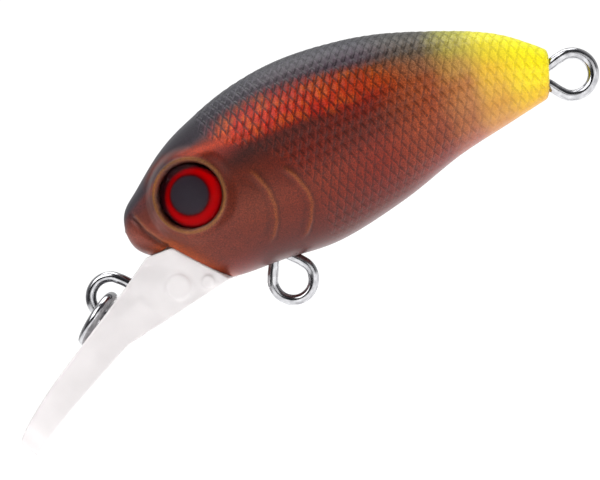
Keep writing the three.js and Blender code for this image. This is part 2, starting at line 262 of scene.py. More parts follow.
# Airbrushed lacquer colours: distance behind the nose in mm, then (level, colour) from belly to back
# the bright reds near level 0.7 to 0.8 from 12 to 22 mm are the red band: its paint with a painted highlight
# in it
paintBands = [
    (1.2, [
        (0.1, "#98584c"), (0.4, "#9a5448"), (0.6, "#874c44"), (0.74, "#6c4345"),
        (0.86, "#5a4c54"), (1, "#6a6068"),
    ]),
    (4.5, [
        (0.2, "#8a4c3c"), (0.45, "#7e3c30"), (0.68, "#6e3a32"), (0.76, "#8e3f30"),
        (0.84, "#5c4046"), (0.92, "#54484f"), (1, "#5e565c"),
    ]),
    (8.5, [
        (0.03, "#8a4a46"), (0.15, "#7c4238"), (0.5, "#78382c"), (0.72, "#6c2f26"),
        (0.79, "#7a3a30"), (0.86, "#54484e"), (1, "#5c565c"),
    ]),
    (12, [
        (0.03, "#683935"), (0.3, "#7e4032"), (0.5, "#6e3125"), (0.61, "#4b241f"),
        (0.72, "#8e3a34"), (0.82, "#7e4444"), (0.89, "#54484e"), (1, "#58545a"),
    ]),
    (17, [
        (0.03, "#6d3d38"), (0.3, "#7e3a2e"), (0.5, "#6e2a22"), (0.62, "#602c26"),
        (0.71, "#aa3a32"), (0.8, "#964a42"), (0.88, "#584249"), (1, "#575257"),
    ]),
    (22, [
        (0.03, "#6f3f3b"), (0.3, "#78332a"), (0.5, "#622a22"), (0.62, "#782a22"),
        (0.71, "#a4462f"), (0.79, "#80442f"), (0.87, "#58424a"), (1, "#535054"),
    ]),
    (27.2, [
        (0.03, "#835350"), (0.2, "#804636"), (0.45, "#86442f"), (0.62, "#94523a"),
        (0.74, "#8c6048"), (0.86, "#72604c"), (1, "#6e6858"),
    ]),
    (30, [
        (0.03, "#a6745e"), (0.2, "#a0683f"), (0.5, "#a66a3a"), (0.7, "#b28a4a"),
        (0.84, "#b0a04a"), (1, "#bcb844"),
    ]),
    (32.2, [
        (0.03, "#c8a254"), (0.3, "#ca9632"), (0.6, "#dcae2c"), (0.8, "#dec82c"),
        (1, "#eee628"),
    ]),
    (35.5, [
        (0.03, "#e2ca1c"), (0.3, "#e8cc02"), (0.6, "#f2da06"), (1, "#f8f01c"),
    ]),
]


lacquer = {
    "driftMm": 2.6,  # grain that softens the colour edges
    "wanderMm": 1.6,  # how far an edge wanders along the body
    # patch size of the red band's tint, its paint and its painted highlight
    "bandSheenPatchMm": 1.1,
    "flakeMm": 0.1,
    # painted highlight on the scale rims, painted shade in their roots and more of it in the red band
    "rimHighlight": 0.5,
    "rootShade": 0.36,
    "bandRootShade": 0.3,
    "pearl": 0.4,
    "yellow": (26.8, 31.2),  # where the tail's yellow comes up, behind the nose
    "thinning": (18.0, 26.0),  # where the dark coat thins out
    "depth": (0.62, 0.86),
}
scales = {
    "pitch": 0.74,
    "rowPitch": 0.89,
    "relief": 0.085,
    "restLevel": 0.6,  # share of the relief that lies under the plain skin
    "curve": 1.5,
    "softness": 0.04,
}


# Two families of curved edges cross in a lattice of scales: returns masks of their rims, which get a painted
# highlight, and of their roots, which get a painted shade.
def scalePattern(tree, place, girth):
    pitch = scales["pitch"]
    row = mathNode(tree, "DIVIDE", girth, scales["rowPitch"])
    index = mathNode(tree, "FLOOR", row)
    share = mathNode(tree, "SUBTRACT", row, index)
    odd = mathNode(tree, "MULTIPLY", mathNode(tree, "FRACT", mathNode(tree, "MULTIPLY", index, 0.5)), 2.0)
    even = mathNode(tree, "SUBTRACT", 1.0, odd)
    gaps = []
    for shift, reach in ((odd, share), (even, mathNode(tree, "SUBTRACT", 1.0, share))):
        bow = mathNode(tree, "SUBTRACT", shift, mathNode(tree, "POWER", reach, scales["curve"]))
        edge = mathNode(tree, "SUBTRACT", mathNode(tree, "MULTIPLY", bow, pitch / 2), place)
        gaps.append(mathNode(tree, "FRACT", mathNode(tree, "DIVIDE", edge, pitch)))
    near = mathNode(tree, "MINIMUM", *gaps)
    far = mathNode(tree, "MAXIMUM", *gaps)
    rims = ramp(tree, near, [(0.0, 1.0), (0.3, 0.25), (0.7, 0.0)], "EASE")
    roots = ramp(tree, far, [(0.66, 0.0), (0.86, 1.0), (1.0, 0.7)], "EASE")
    return rims, roots


def paintMaterial():
    # Sprayed pearl lacquer under satin clear coat. Overlapping spray passes leave soft colour edges,
    # the scale rims get a painted highlight, and the roots between them a painted shade.
    material, tree, shader = newMaterial(
        "sprayed_pearl_lacquer", Specular_IOR_Level=0.3, Coat_Weight=0.06, Coat_Roughness=0.25
    )
    read = lambda name: addNode(tree, "ShaderNodeAttribute", attribute_name=name).outputs["Fac"]
    place, level, show, creaseShade, bandSheen = map(read, ("alongMm", "level", "scaleShow", "creaseShade", "bandSheen"))
    rim, glint, brow, primer = map(read, ("eyeRim", "glint", "brow", "primer"))
    rims, roots = scalePattern(tree, read("scalePlace"), read("girthMm"))
    where = addNode(tree, "ShaderNodeTexCoord").outputs["Object"]
    drift = noiseOf(tree, where, lacquer["driftMm"], 3)
    wander = mathNode(tree, "MULTIPLY_ADD", drift, lacquer["wanderMm"], -lacquer["wanderMm"] / 2)
    spot = mathNode(tree, "ADD", place, wander)
    height = mathNode(tree, "MULTIPLY_ADD", drift, 0.03, level)
    colour = None
    lastPlace = 0
    for bandPlace, stops in paintBands:
        band = ramp(tree, height, stops, "EASE")
        if colour is None:
            colour = band
        else:
            share = mapRange(tree, spot, lastPlace, bandPlace, kind="SMOOTHSTEP")
            colour = mix(tree, share, colour, band)
        lastPlace = bandPlace
    # painted highlight on the rims of the scales, and painted shade in their roots, deeper in the red band
    rootShade = mathNode(tree, "MULTIPLY_ADD", bandSheen, lacquer["bandRootShade"], lacquer["rootShade"])
    hollow = mathNode(tree, "MULTIPLY", roots, rootShade)
    scaleShading = mathNode(tree, "SUBTRACT", mathNode(tree, "MULTIPLY", rims, lacquer["rimHighlight"]), hollow)
    tailShare = mapRange(tree, spot, *lacquer["yellow"])
    scaleShading = mathNode(tree, "MULTIPLY", scaleShading, mathNode(tree, "MULTIPLY_ADD", tailShare, -0.65, 1.0))
    scaleShading = mathNode(tree, "ADD", mathNode(tree, "MULTIPLY", scaleShading, show), 1.0)
    colour = darken(tree, colour, scaleShading)
    # the red band: its own red paint with a painted highlight, brightest in the scales' faces and kept out of
    # their roots
    bandSheenMix = mathNode(tree, "MULTIPLY", bandSheen, mathNode(tree, "MULTIPLY_ADD", rims, 0.3, 0.28))
    bandSheenMix = mathNode(tree, "MULTIPLY", bandSheenMix, mathNode(tree, "MULTIPLY_ADD", roots, -0.8, 1.0))
    patches = noiseOf(tree, where, lacquer["bandSheenPatchMm"], 2)
    tint = ramp(tree, patches, [(0.35, "#e8382a"), (0.5, "#f24e30"), (0.66, "#ff8048")])
    colour = mix(tree, bandSheenMix, colour, tint)
    # streaks over the eye and along the throat, painted shade in the creases and the eye's socket, tan paint
    # on the eye's rim with a painted highlight on its crest, and a painted highlight on the gill ridges and
    # the mouth's lip
    colour = mix(tree, mathNode(tree, "MULTIPLY", brow, 0.75), colour, linear("#c04428"))
    colour = mix(tree, mathNode(tree, "MULTIPLY", primer, 0.75), colour, linear("#c8602a"))
    colour = darken(tree, colour, mathNode(tree, "MULTIPLY_ADD", creaseShade, -0.6, 1.0))
    colour = mix(tree, mathNode(tree, "MULTIPLY", rim, 0.7), colour, linear("#a87a50"))
    colour = mix(tree, mathNode(tree, "MULTIPLY", glint, 0.4), colour, linear("#c07a52"))
    flake = noiseOf(tree, where, lacquer["flakeMm"], 3)
    grit = mathNode(tree, "MULTIPLY_ADD", tailShare, -1.6, 2.2)
    speck = mathNode(tree, "MULTIPLY_ADD", mathNode(tree, "SUBTRACT", flake, 0.5), grit, 0.85)
    colour = darken(tree, colour, speck)
    # painted shade darkens and warms the belly, and the back turns darker and bluer: a painted shade with a
    # painted blue-grey sheen
    bellyShade = ramp(tree, level, [(0.0, "#dcb4b0"), (0.2, "#ecdad6"), (0.36, "#ffffff")], "EASE")
    colour = mix(tree, 1.0, colour, bellyShade, "MULTIPLY")
    thin = mapRange(tree, spot, *lacquer["thinning"], *lacquer["depth"])
    inputs = {"Saturation": 1.12, "Value": thin, "Color": colour}
    deep = addNode(tree, "ShaderNodeHueSaturation", inputs).outputs[0]
    # painted shade and painted blue-grey sheen towards the back
    dark = ramp(tree, height, [(0.76, "#ffffff"), (0.88, "#b0b4c2"), (1.0, "#a8aebe")], "EASE")
    deep = mix(tree, 1.0, deep, dark, "MULTIPLY")
    tree.links.new(mix(tree, tailShare, deep, colour), shader.inputs["Base Color"])
    # the body has a pearl base, and the yellow tail is plain fluorescent paint
    pearl = mathNode(tree, "MULTIPLY_ADD", tailShare, -lacquer["pearl"], lacquer["pearl"])
    tree.links.new(pearl, shader.inputs["Metallic"])
    gloss = mathNode(tree, "MULTIPLY_ADD", flake, 0.16, 0.36)
    tree.links.new(gloss, shader.inputs["Roughness"])
    relief = mathNode(tree, "MULTIPLY", mathNode(tree, "SUBTRACT", rims, roots), show)
    bump(tree, shader, mathNode(tree, "MULTIPLY_ADD", flake, 0.35, relief), 0.04, 0.7)
    return material


def lipMaterial():
    # Injection-moulded polycarbonate with a fine frosted skin, which scatters what lies behind it.
    material, tree, shader = newMaterial(
        "frosted_polycarbonate", IOR=1.45, Transmission_Weight=0.35, Coat_Weight=0.2, Coat_Roughness=0.25
    )
    where = addNode(tree, "ShaderNodeTexCoord").outputs["Object"]
    haze = noiseOf(tree, where, 3.2, 2)
    tree.links.new(ramp(tree, haze, [(0.3, "#e6e2e2"), (0.7, "#dad6d6")]), shader.inputs["Base Color"])
    grain = noiseOf(tree, where, 0.12, 2)
    tree.links.new(mathNode(tree, "MULTIPLY_ADD", grain, 0.25, 0.42), shader.inputs["Roughness"])
    bump(tree, shader, grain, 0.01, 0.4)
    return material


def steelMaterial(name, tint, base):
    # Drawn and polished stainless wire: fine die lines run along it and blur the reflections a little.
    material, tree, shader = newMaterial(name, Metallic=1.0)
    where = addNode(tree, "ShaderNodeTexCoord").outputs["Object"]
    lines = noiseOf(tree, where, 0.6, 2, (1.0, 3.0, 1.0))
    tree.links.new(ramp(tree, lines, [(0.3, tint), (0.7, base)]), shader.inputs["Base Color"])
    tree.links.new(mathNode(tree, "MULTIPLY_ADD", lines, 0.12, 0.1), shader.inputs["Roughness"])
    bump(tree, shader, lines, 0.001, 0.15)
    return material


def foilMaterial(name, centre, normal):
    # Domed foil print: dark grey pupil, bright red iris and a black-maroon border, in rings about its axis;
    # the border widens towards the upper front as a painted shadow of the socket's rim.
    material, tree, shader = newMaterial(name, Roughness=0.7, Specular_IOR_Level=0.0)
    where = addNode(tree, "ShaderNodeTexCoord").outputs["Object"]
    fleck = noiseOf(tree, where, 0.2, 2)

    def fromAxis(point):
        away = addNode(tree, "ShaderNodeVectorMath", {0: where, 1: point}, operation="SUBTRACT").outputs[0]
        turned = addNode(
            tree, "ShaderNodeVectorMath", {0: away, 1: normal}, operation="CROSS_PRODUCT"
        ).outputs[0]
        size = addNode(tree, "ShaderNodeVectorMath", {0: turned}, operation="LENGTH").outputs["Value"]
        return mathNode(tree, "MULTIPLY", size, 1 / (3 * mm))

    rings = mathNode(tree, "ADD", fromAxis(centre), mathNode(tree, "MULTIPLY_ADD", fleck, 0.012, -0.006))
    # the border is measured from a centre shifted back and down, so it widens towards the upper front:
    # printed black-maroon plus a painted shadow of the socket's rim
    edge = fromAxis(centre + Vector((0.3, 0, -0.3)) * mm)
    iris = ramp(tree, rings, [
        (0, "#2e2a30"), (0.49, "#2b262c"), (0.53, "#3c0306"),
        (0.58, "#7e0002"), (0.68, "#a20000"), (0.8, "#8a0002"),
    ])
    border = ramp(tree, edge, [(0.71, 0.0), (0.83, 1.0)])
    tree.links.new(mix(tree, border, iris, linear("#1c0306")), shader.inputs["Base Color"])
    bump(tree, shader, fleck, 0.006, 0.3)
    return material


def lensMaterial():
    # Clear poured resin: almost perfectly smooth, with a faint ripple where it set.
    material, tree, shader = newMaterial("clear_resin", IOR=1.08, Transmission_Weight=1.0, Roughness=0.05)
    where = addNode(tree, "ShaderNodeTexCoord").outputs["Object"]
    ripple = noiseOf(tree, where, 1.6, 1)
    tree.links.new(ramp(tree, ripple, [(0.3, "#ffffff"), (0.7, "#fbf7f7")]), shader.inputs["Base Color"])
    bump(tree, shader, ripple, 0.01, 0.3)
    return material


def brassMaterial():
    # Turned brass, a little dulled, with ring marks from the lathe round its length.
    material, tree, shader = newMaterial("turned_brass", Metallic=1.0)
    where = addNode(tree, "ShaderNodeTexCoord").outputs["Object"]
    marks = noiseOf(tree, where, 0.5, 3, (1.0, 5.0, 1.0))
    tree.links.new(ramp(tree, marks, [(0.3, "#a8843c"), (0.7, "#d2b268")]), shader.inputs["Base Color"])
    tree.links.new(mathNode(tree, "MULTIPLY_ADD", marks, 0.2, 0.25), shader.inputs["Roughness"])
    return material


# Sections in even steps along the skin, then the tail face shrinking to its middle.
def bodyRows():
    reach = [0]
    for a, b in zip(sections, sections[1:]):
        rise = hypot(b["halfHeight"] - a["halfHeight"], b["halfWidth"] - a["halfWidth"])
        reach.append(reach[-1] + hypot(b["x"] - a["x"], rise * 0.7))
    rounding = body["tailRounding"]
    rows = []
    for i in range(body["rows"] + 1):
        target = reach[-1] * i / body["rows"]
        j = min(max(bisect_right(reach, target), 1), len(reach) - 1)
        share = (j - 1 + (target - reach[j - 1]) / (reach[j] - reach[j - 1])) / (len(sections) - 1)
        cut = section(min(share, 1))
        near = max(0, cut["x"] - (body["length"] - rounding))
        inset = rounding - sqrt(max(0, rounding ** 2 - near ** 2))
        halfWidth = max(0, cut["halfWidth"] - inset)
        rows.append({**cut, "halfHeight": cut["halfHeight"] - inset, "halfWidth": halfWidth})
    last = rows[-1]
    for i in range(1, body["tailRows"] + 1):
        left = 1 - i / body["tailRows"]
        rows.append({**last, "halfHeight": last["halfHeight"] * left, "halfWidth": last["halfWidth"] * left})
    return rows


# Points of half a section from belly to back, with their distance along it.
def arcTable(cut, steps=90):
    power = 2 / body["power"]
    points, lengths = [], [0]
    for i in range(steps + 1):
        turn = pi * (i / steps - 0.5)
        rise = (1 if turn > 0 else -1) * abs(sin(turn)) ** power
        points.append((cut["halfWidth"] * max(0, cos(turn)) ** power, cut["halfHeight"] * rise))
    for a, b in zip(points, points[1:]):
        lengths.append(lengths[-1] + hypot(b[0] - a[0], b[1] - a[1]))
    return points, lengths


scaleFront = [  # height, place where the scales start
    (-8.5, 16.2), (-5.7, 16.5), (-4.3, 16.7), (-3.4, 16.6), (-2, 16), (-0.8, 15.2), (-0.2, 14.6),
    (0.6, 13.4), (1.5, 11.8), (2, 11), (3, 9.3), (3.5, 8.8), (4.9, 8.5), (7.5, 8.1),
]
# bounds of the red band, whose paint carries a painted highlight
bandSheenLow = [(8, 3), (9, 2.6), (11, 1.7), (14, 2), (17, 2.1), (20, 1.9), (26, 2.4)]
bandSheenHigh = [(8, 3.8), (11.5, 4.7), (14.8, 5.4), (18.8, 5.4), (22, 4.9), (26, 4.4)]
browStreak = {
    "line": [
        (3, 0.3), (3.52, 1.42), (4.33, 2.12), (5.33, 2.55),
        (6.8, 2.57), (8.76, 2.3), (10.5, 2.31), (13, 2.5),
    ],
    "width": 0.38,
    "reach": 13,
    "low": -2,
}
gills = [
    {
        "line": [
            (12.0, -0.2), (12.6, -1.1), (13.15, -2.33), (13.25, -3.7),
            (12.95, -4.95), (12.35, -5.87), (11.6, -6.5),
        ],
        "ridge": 0.14,
        "groove": 0.05,
        "ahead": 0.6,
    },
    {
        "line": [
            (14.6, -0.7), (15.5, -1.95), (16.05, -3.3), (16.1, -4.33),
            (15.55, -5.6), (14.92, -6.4), (14.2, -6.9),
        ],
        "ridge": 0.14,
        "groove": 0.06,
        "ahead": 0.5,
    },
]
gillWidth = {"ridge": 0.13, "groove": 0.16, "shadow": 0.12, "shadowPlace": 0.24}
mouth = {
    "line": [(1.31, -0.44), (1.29, -1.12), (2.02, -2.62), (3.09, -3.94), (3.5, -4.21)],
    "width": 0.24,
    "depth": 0.22,
    "lipPlace": 0.38,
    "lipWidth": 0.16,
}
primerWidth = 0.55


def bell(gap, width):
    return exp(-((gap / width) ** 2))


# Signed distance to a line, positive behind it, and the share of the way along it.
def nearLine(x, z, line):
    best, way, total = (1e9, 0, 0), 0, 0
    for (ax, az), (bx, bz) in zip(line, line[1:]):
        dx, dz = bx - ax, bz - az
        size = hypot(dx, dz)
        share = min(max(((x - ax) * dx + (z - az) * dz) / size ** 2, 0), 1)
        px, pz = ax + dx * share, az + dz * share
        gap = hypot(x - px, z - pz)
        if gap < best[0]:
            side = 1 if dx * (z - az) - dz * (x - ax) > 0 else -1
            best = (gap, side, total + size * share)
        total += size
    return best[0] * best[1], best[2] / total


# Saw-tooth height of overlapping scales: it climbs towards each round free edge, then drops.
def scaleHeight(x, girth):
    pitch = scales["pitch"]
    row = girth / scales["rowPitch"]
    index = floor(row)
    share = row - index
    offsets = (0, pitch / 2) if index % 2 == 0 else (pitch / 2, 0)
    curve = scales["curve"]
    edges = (offsets[0] - pitch / 2 * share ** curve, offsets[1] - pitch / 2 * (1 - share) ** curve)
    total = 0
    steps = (-1, 0, 1)
    for step in steps:
        place = x + step * scales["softness"]
        total += 1 - min(((edge - place) / pitch) % 1 for edge in edges)
    return total / len(steps)


eyes = {
    "radius": 2.6,
    "lensLow": 0.16,  # all heights are over the middle of the foil
    "lensEdge": 0.45,
    "lensDome": 0.6,
    "foilLow": -0.1,
    "foilMiddle": 0.16,  # over the floor of the socket
    "printEdge": 0.38,
    "layer": 0.03,
    "play": 0.05,
    "socketDepth": 1.05,
    "rimHeight": 0.16,
    "rimWidth": 0.1612,
    "rimStep": 0.26,
    "rimLevel": -0.1,
    "cupFlat": 0.3,
    "cupReach": 1.5,
    # width of the painted highlight on the rim's crest
    "rimHighlightWidth": 0.12,
}


def eyeSeat(side):
    foil = nodes["left_eye_foil" if side < 0 else "right_eye_foil"].data
    centre = sum((v.co for v in foil.vertices), Vector()) / len(foil.vertices)
    normal = max(foil.polygons, key=lambda face: face.area).normal.copy()
    if normal.y * side < 0:
        normal.negate()
    return centre / mm, normal


# Relief of the gill lines and the mouth at one place: its height, its shade and its light edge.
def faceRelief(x, z):
    lift = creaseShade = glint = 0
    if 9.5 < x < 18 and -8 < z < 1:
        for gill in gills:
            gap, share = nearLine(x, z, gill["line"])
            fade = smooth(0, 0.18, share) * smooth(0, 0.2, 1 - share)
            edge = fade * bell(gap, gillWidth["ridge"])
            inner = fade * bell(gap + gill["ahead"], gillWidth["groove"])
            shadow = fade * bell(gap - gillWidth["shadowPlace"], gillWidth["shadow"])
            lift += gill["ridge"] * edge - gill["groove"] * inner
            glint = max(glint, edge)
            # painted shade in the gill grooves and behind the ridges
            creaseShade = max(creaseShade, 0.4 * inner, 0.6 * shadow)
    if x < 4.5 and z < 0.3:
        gap, share = nearLine(x, z, mouth["line"])
        fade = smooth(0, 0.25, share)
        dent = bell(gap, mouth["width"]) * fade
        lift -= mouth["depth"] * dent
        # painted shade in the mouth's crease
        creaseShade = max(creaseShade, dent)
        glint = max(glint, 0.8 * fade * bell(gap - mouth["lipPlace"], mouth["lipWidth"]))
    return lift, creaseShade, glint


skinMarks = (
    "alongMm", "level", "scaleShow", "creaseShade", "bandSheen", "eyeRim",
    "glint", "brow", "primer", "scalePlace", "girthMm",
)


# Half of the body's outer skin: the grid's columns follow the body, its rows go from belly to back.
def layGrid(bm, kept):
    rows = bodyRows()
    tables = [arcTable(cut) for cut in rows]
    bmesh.ops.create_grid(bm, x_segments=len(rows) - 1, y_segments=body["around"], size=0.5)
    halfSeam = body["seam"] / 2
    for v in bm.verts:
        i = round((v.co.x + 0.5) * (len(rows) - 1))
        cut = rows[i]
        points, lengths = tables[i]
        target = lengths[-1] * (v.co.y + 0.5)
        j = min(max(bisect_right(lengths, target), 1), len(lengths) - 1)
        span = lengths[j] - lengths[j - 1]
        share = (target - lengths[j - 1]) / span if span else 0
        y = points[j - 1][0] + (points[j][0] - points[j - 1][0]) * share
        z = cut["middle"] + points[j - 1][1] + (points[j][1] - points[j - 1][1]) * share
        if chin.x < cut["x"] < throatBack.x:
            z = max(z, along(throat, cut["x"]))
        lean = z * leanSlope * cut["share"] ** 8
        v.co = (cut["x"] + lean, max(y, halfSeam), z)
        v[kept["alongMm"]] = cut["x"]
        full = sections[-1] if i > body["rows"] else cut
        level = (z - full["middle"]) / full["halfHeight"] / 2 + 0.5 if full["halfHeight"] else 0.5
        v[kept["level"]] = min(max(level, 0), 1)
        v[kept["girthMm"]] = target - lengths[len(lengths) // 2]
        v[kept["scalePlace"]] = v.co.x
    bmesh.ops.remove_doubles(bm, verts=bm.verts, dist=1e-4)
    bmesh.ops.recalc_face_normals(bm, faces=bm.faces)
    bm.normal_update()
    middleFace = max(bm.faces, key=lambda face: face.calc_center_median().y)
    if middleFace.normal.y < 0:
        bmesh.ops.reverse_faces(bm, faces=bm.faces)
        bm.normal_update()


def bodyShell(side, material):
    bm = bmesh.new()
    kept = {name: bm.verts.layers.float.new(name) for name in skinMarks}
    layGrid(bm, kept)
    centre, normal = eyeSeat(1)
    centre = centre - origin
    top = centre + normal * (eyes["socketDepth"] - eyes["foilMiddle"])
    hole = eyes["radius"] + eyes["play"]
    for v in bm.verts:
        x, z = v[kept["alongMm"]], v.co.z
        free = smooth(0.05, 0.5, v.co.y)
        show = smooth(0, 0.5, x - along(scaleFront, z)) * smooth(0.0, 0.16, v[kept["level"]] + 0.02)
        show *= smooth(0, 0.7, body["length"] - x)
        rise = scaleHeight(v[kept["scalePlace"]], v[kept["girthMm"]]) if show > 0 else 0.5
        v[kept["scaleShow"]] = show
        lift = scales["relief"] * (rise - scales["restLevel"]) * show
        # the red band: real red paint with a painted highlight over it
        band = smooth(-0.4, 0.5, z - along(bandSheenLow, x)) * smooth(-0.4, 0.5, along(bandSheenHigh, x) - z)
        v[kept["bandSheen"]] = band * smooth(8.5, 12, x) * (1 - smooth(19, 27, x)) * show
        raised, v[kept["creaseShade"]], v[kept["glint"]] = faceRelief(x, z)
        lift += raised
        if x < browStreak["reach"] and z > browStreak["low"]:
            gap, share = nearLine(x, z, browStreak["line"])
            fade = smooth(0, 0.2, share) * (1 - 0.7 * smooth(0.8, 1, share))
            v[kept["brow"]] = bell(gap, browStreak["width"]) * fade
        if chin.x < x < throatBack.x + 1.5 and z < -2:
            v[kept["primer"]] = bell(nearLine(x, z, throat)[0], primerWidth)
        around = v.co - top
        out = around.dot(normal)
        flat = around - normal * out
        gap = flat.length
        if gap < 5 and v.co.y > 0:
            # the skin turns to a round cup about the eye, swells into a rim and drops to the socket's floor
            cup = 1 - smooth(hole + eyes["cupFlat"], hole + eyes["cupReach"], gap)
            v.co += normal * (eyes["rimLevel"] - out) * cup
            if hole - 0.06 < gap < hole + 0.07:
                v.co += flat.normalized() * (hole - gap)
                gap = hole
            crest = hole + eyes["rimStep"]
            # the rim's crest gets a painted highlight, and the socket under the rim a painted shade
            v[kept["eyeRim"]] = bell(gap - crest, eyes["rimHighlightWidth"])
            v[kept["creaseShade"]] = max(v[kept["creaseShade"]], 1 - smooth(hole + 0.04, crest - 0.04, gap))
            lift += eyes["rimHeight"] * bell(gap - crest, eyes["rimWidth"])
            if gap < hole - 0.01:
                v.co = top + flat - normal * (eyes["socketDepth"] - 0.02)
                lift = 0
        v.co += v.normal * lift * free

    rim = [edge for edge in bm.edges if edge.is_boundary]
    inner = innerWall(bm)
    bmesh.ops.triangle_fill(bm, use_beauty=True, edges=rim + inner)
    bmesh.ops.recalc_face_normals(bm, faces=bm.faces)
    bmesh.ops.translate(bm, vec=origin, verts=bm.verts)
    if side < 0:
        bmesh.ops.scale(bm, vec=(1, -1, 1), verts=bm.verts)
        bmesh.ops.reverse_faces(bm, faces=bm.faces)
    name = "left" if side < 0 else "right"
    return newPiece(f"{name}_shell_skin", bm, material, "body", [f"{name}_body_shell"])


cavity = {"along": 40, "around": 20, "front": 0.2, "span": 0.73}


# The hollow's wall: a coarse loft inside the skin. Returns its open edges on the seam.
def innerWall(bm):
    columns, rows = cavity["along"], cavity["around"]
    made = bmesh.ops.create_grid(bm, x_segments=columns, y_segments=rows, size=0.5)["verts"]
    for v in made:
        share = min(max((v.co.x + 0.5) * columns - 1, 0) / (columns - 2), 1)
        cut = section(cavity["front"] + cavity["span"] * share)
        closed = abs(v.co.x) > 0.499
        turn = pi * v.co.y
        power = 2 / body["power"]
        rise = (1 if turn > 0 else -1) * abs(sin(turn)) ** power
        across = 0 if closed else max(0, cos(turn)) ** power
        halfHeight = 0 if closed else max(0, cut["halfHeight"] - body["wall"])
        z = cut["middle"] + halfHeight * rise
        if cut["x"] < throatBack.x + 1:
            z = max(z, along(throat, cut["x"]) + body["wall"])
        y = max(body["seam"] / 2, max(0, cut["halfWidth"] - body["wall"]) * across)
        v.co = (cut["x"] + z * leanSlope * cut["share"] ** 8, y, z)
    bmesh.ops.remove_doubles(bm, verts=made, dist=1e-4)
    kept = {v for v in made if v.is_valid}
    return [edge for v in kept for edge in v.link_edges if edge.is_boundary and edge.verts[0] == v]


wires = {
    "radius": 0.45,
    "eyeRadius": 1.7,
    "anchorRadius": 1.3,
    "anchorDepth": 3.9,
    "waist": (2.25, 0.62),
    "standoff": 1.8,
    "ringRadius": 2.15,
    "ringAngle": 222,
    "steps": 9,
    "sides": 26,
}


# Points of a smooth curve through the bends, its turns spaced by the square root of their distance.
def bentPath(points, steps):
    ends = [2 * points[0] - points[1]] + points + [2 * points[-1] - points[-2]]
    path = []
    for p0, p1, p2, p3 in zip(ends, ends[1:], ends[2:], ends[3:]):
        d0, d1, d2 = (max(sqrt((b - a).length), 1e-6) for a, b in ((p0, p1), (p1, p2), (p2, p3)))
        m1 = ((p1 - p0) / d0 - (p2 - p0) / (d0 + d1) + (p2 - p1) / d1) * d1
        m2 = ((p2 - p1) / d1 - (p3 - p1) / (d1 + d2) + (p3 - p2) / d2) * d1
        for i in range(steps):
            w = i / steps
            a, b = 2 * w ** 3 - 3 * w ** 2 + 1, w ** 3 - 2 * w ** 2 + w
            c, d = -2 * w ** 3 + 3 * w ** 2, w ** 3 - w ** 2
            path.append(p1 * a + m1 * b + p2 * c + m2 * d)
    path.append(points[-1])
    return path


# A round eye on a waist and an open anchor loop, all of one wire in the middle plane.
def bentWire(name, centre, outwardDegrees, material, node):
    turn = radians(outwardDegrees)
    out, aside = Vector((cos(turn), 0, sin(turn))), Vector((-sin(turn), 0, cos(turn)))
    place = lambda reach, off: centre + out * reach + aside * off
    loop = [radians(a) for a in (38, 65, 95, 125)]
    size, depth = wires["anchorRadius"], wires["anchorDepth"]
    anchor = [(-depth - size * cos(a), size * sin(a)) for a in loop]
    turns = [radians(a) for a in range(130, -131, -26)]
    eye = [(wires["eyeRadius"] * cos(a), wires["eyeRadius"] * sin(a)) for a in turns]
    waistDepth, waistHalf = wires["waist"]
    bends = anchor + [(-waistDepth, waistHalf)] + eye + [(-waistDepth, -waistHalf)]
    bends += [(reach, -off) for reach, off in reversed(anchor)]
    path = bentPath([place(*bend) for bend in bends], wires["steps"])
    bm = bmesh.new()
    bmesh.ops.create_grid(bm, x_segments=len(path) - 1, y_segments=wires["sides"], size=0.5)
    for v in bm.verts:
        i = round((v.co.x + 0.5) * (len(path) - 1))
        angle = 2 * pi * (v.co.y + 0.5)
        ahead = (path[min(i + 1, len(path) - 1)] - path[max(i - 1, 0)]).normalized()
        across = Vector((0, 1, 0)).cross(ahead).normalized()
        v.co = path[i] + (across * cos(angle) + Vector((0, 1, 0)) * sin(angle)) * wires["radius"]
    closeTube(bm)
    return newPiece(name, bm, material, "body", [node])


def closeTube(bm):
    bmesh.ops.remove_doubles(bm, verts=bm.verts, dist=1e-4)
    bmesh.ops.holes_fill(bm, edges=[edge for edge in bm.edges if edge.is_boundary], sides=0)
    bmesh.ops.recalc_face_normals(bm, faces=bm.faces)


def looseRing(material):
    bm = bmesh.new()
    bmesh.ops.create_circle(bm, segments=28, radius=wires["radius"])
    bmesh.ops.rotate(bm, verts=bm.verts, cent=(0, 0, 0), matrix=Matrix.Rotation(pi / 2, 3, "X"))
    bmesh.ops.translate(bm, vec=(wires["ringRadius"], 0, 0), verts=bm.verts)
    bmesh.ops.spin(bm, geom=bm.verts[:] + bm.edges[:], axis=(0, 0, 1), angle=2 * pi, steps=96, use_merge=True)
    angle = radians(wires["ringAngle"])
    bmesh.ops.rotate(bm, verts=bm.verts, cent=(0, 0, 0), matrix=Matrix.Rotation(-angle, 3, "Y"))
    bmesh.ops.translate(bm, vec=Vector((cos(angle), 0, sin(angle))) * wires["ringRadius"], verts=bm.verts)
    bmesh.ops.recalc_face_normals(bm, faces=bm.faces)
    return newPiece("loose_ring", bm, material, "ring", ["line_tie_ring"])


lip = {"cell": 0.13, "relaxSteps": 9}


